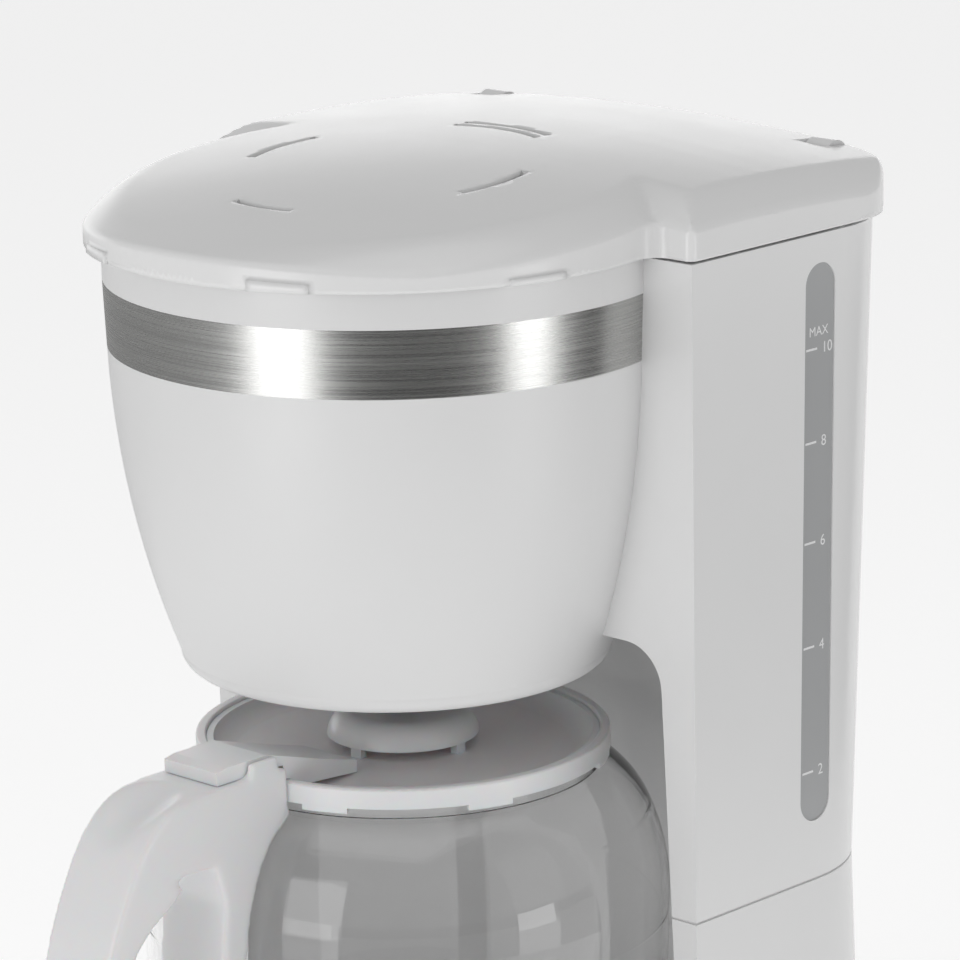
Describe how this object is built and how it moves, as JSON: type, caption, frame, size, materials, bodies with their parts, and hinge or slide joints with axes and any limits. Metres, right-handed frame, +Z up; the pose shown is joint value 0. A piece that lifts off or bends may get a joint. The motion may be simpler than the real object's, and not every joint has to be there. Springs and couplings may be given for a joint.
{
  "type": "drip coffee maker",
  "caption": "Drip coffee maker with a lidded water column, round filter bowl with a steel band, and a glass jug on a hot plate.",
  "frame": {"origin": "middle of the footprint, at table height", "axes": "+Z up, +X to the machine's right as seen from the front, front towards -Y"},
  "size_m": [0.1836, 0.2321, 0.3353],
  "materials": {
    "white_plastic": "gloss",
    "bowl_plastic": "satin",
    "steel_band": "brushed",
    "tinted_window": "gloss",
    "jug_glass": "polished",
    "jug_plastic": "gloss",
    "plate_coating": "satin",
    "black_rubber": "matte",
    "silicone": "matte",
    "aluminium_cast": "cast",
    "steel_plated": "plated",
    "black_plastic": "satin",
    "basket_plastic": "satin"
  },
  "bodies": {
    "machine": {"base_housing": "white_plastic", "base_cover": "white_plastic", "rubber_feet": "black_rubber", "base_screws": "steel_plated", "screw_posts": "white_plastic", "hot_plate": "plate_coating", "hot_plate_seal": "silicone", "heating_element": "aluminium_cast", "element_bracket": "steel_plated", "bracket_screws": "steel_plated", "thermostat": "black_plastic", "thermal_fuses": "steel_plated", "terminal_block": "white_plastic", "cord_gland": "black_rubber", "switch_bezel": "white_plastic", "switch_body": "black_plastic", "tank_body": "white_plastic", "level_window": "tinted_window", "tank_floor": "white_plastic", "outlet_screen": "white_plastic", "check_ball": "steel_plated", "riser_tube": "white_plastic", "riser_grommet": "silicone", "inlet_hose": "silicone", "riser_hose": "silicone", "hose_clips": "steel_plated", "bowl_housing": "bowl_plastic", "trim_band": "steel_band"},
    "lid": {"top_lid": "white_plastic", "lid_hinge_pins": "steel_plated", "lid_spreader": "white_plastic"},
    "basket": {"filter_basket": "basket_plastic", "valve_cage": "basket_plastic"},
    "valve": {"drip_valve": "basket_plastic", "valve_seal": "silicone", "valve_spring": "steel_plated"},
    "jug": {"jug_glass": "jug_glass", "jug_collar": "jug_plastic", "jug_lid": "jug_plastic", "jug_lid_cap": "jug_plastic", "lid_lever": "jug_plastic", "jug_lid_pin": "steel_plated", "jug_handle": "jug_plastic", "handle_screw": "steel_plated"},
    "rocker": {"switch_rocker": "black_plastic"}
  },
  "joints": [
    {"name": "lid_hinge", "type": "hinge", "parent": "machine", "child": "lid", "pos_m": [0, 0.11075, 0.326], "axis": [-1, 0, 0], "range_deg": [0, 95]},
    {"name": "basket_lift", "type": "slide", "parent": "machine", "child": "basket", "axis": [0, 0, 1], "range_m": [0, 0.0452]},
    {"name": "valve_press", "type": "slide", "parent": "basket", "child": "valve", "axis": [0, 0, 1], "range_m": [0, 0.003], "stiffness_N_per_m": 250, "springref_m": -0.001, "deforming": ["valve_spring"]},
    {"name": "jug_slide", "type": "slide", "parent": "machine", "child": "jug", "axis": [0, -1, 0], "range_m": [0, 0.26]},
    {"name": "switch_rock", "type": "hinge", "parent": "machine", "child": "rocker", "pos_m": [0, -0.07985, 0.032], "axis": [1, 0, 0], "range_deg": [0, 16]}
  ],
  "couplings": [
    {"joint": "basket_lift", "follows": "lid_hinge", "m_per_rad": 0.02714}
  ]
}
